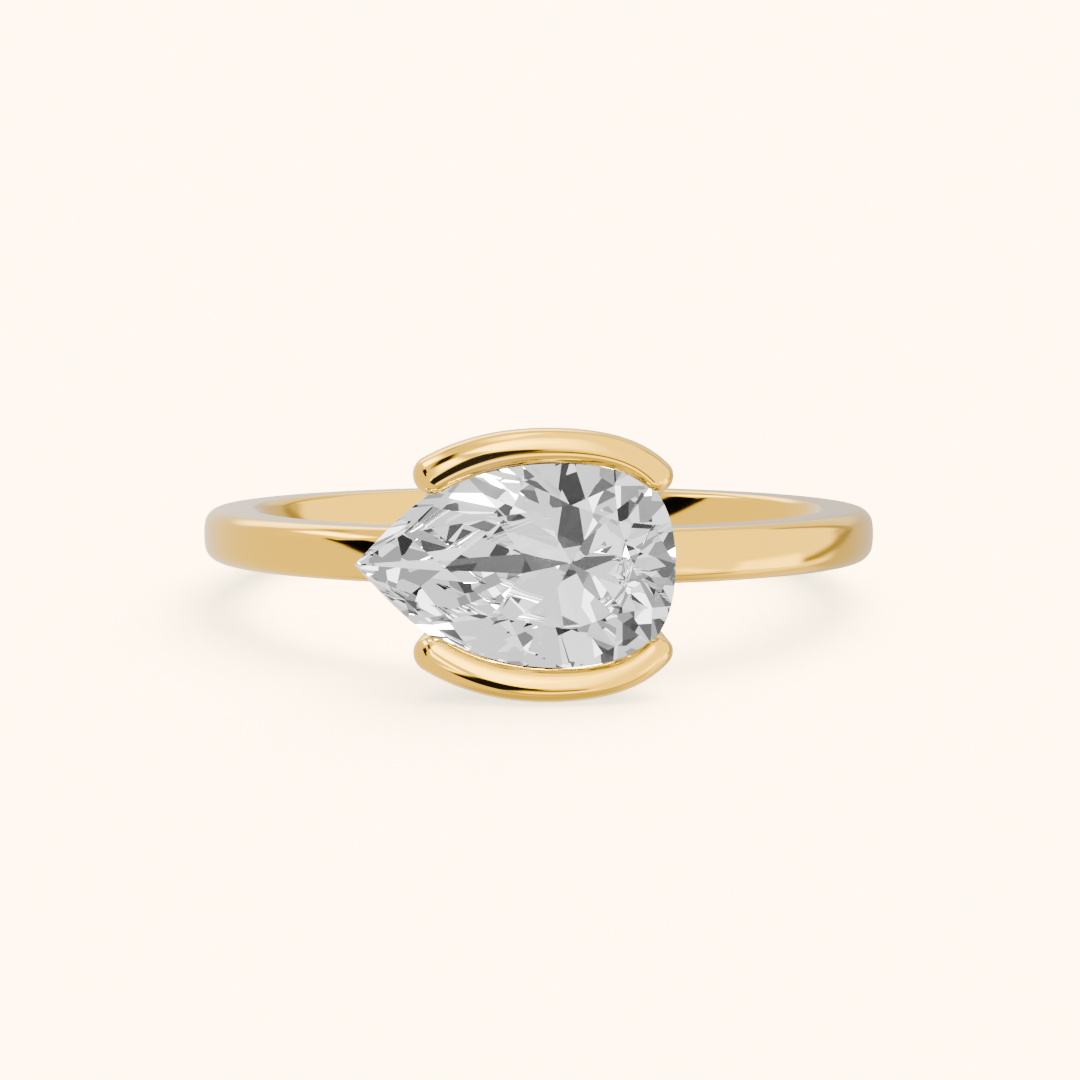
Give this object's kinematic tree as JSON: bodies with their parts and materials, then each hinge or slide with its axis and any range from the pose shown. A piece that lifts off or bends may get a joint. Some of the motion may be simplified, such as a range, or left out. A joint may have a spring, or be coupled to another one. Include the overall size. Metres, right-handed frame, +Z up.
{
  "type": "east west ring",
  "caption": "Plain gold ring lying on its side, a pear-cut clear stone set sideways across its head between two rounded half-bezel bars.",
  "frame": {"origin": "on the surface the ring lies on, under the middle of its outline", "axes": "+Z up from that surface; the head faces -Y, the stone's tip points to -X and its round end to +X"},
  "size_m": [0.0208, 0.0238, 0.0076],
  "materials": {
    "yellow_gold": "high polish yellow gold",
    "clear_stone": "clear, brilliant cut and polished"
  },
  "bodies": {
    "root": {"ring_mount": "yellow_gold", "pear_stone": "clear_stone"}
  },
  "joints": []
}
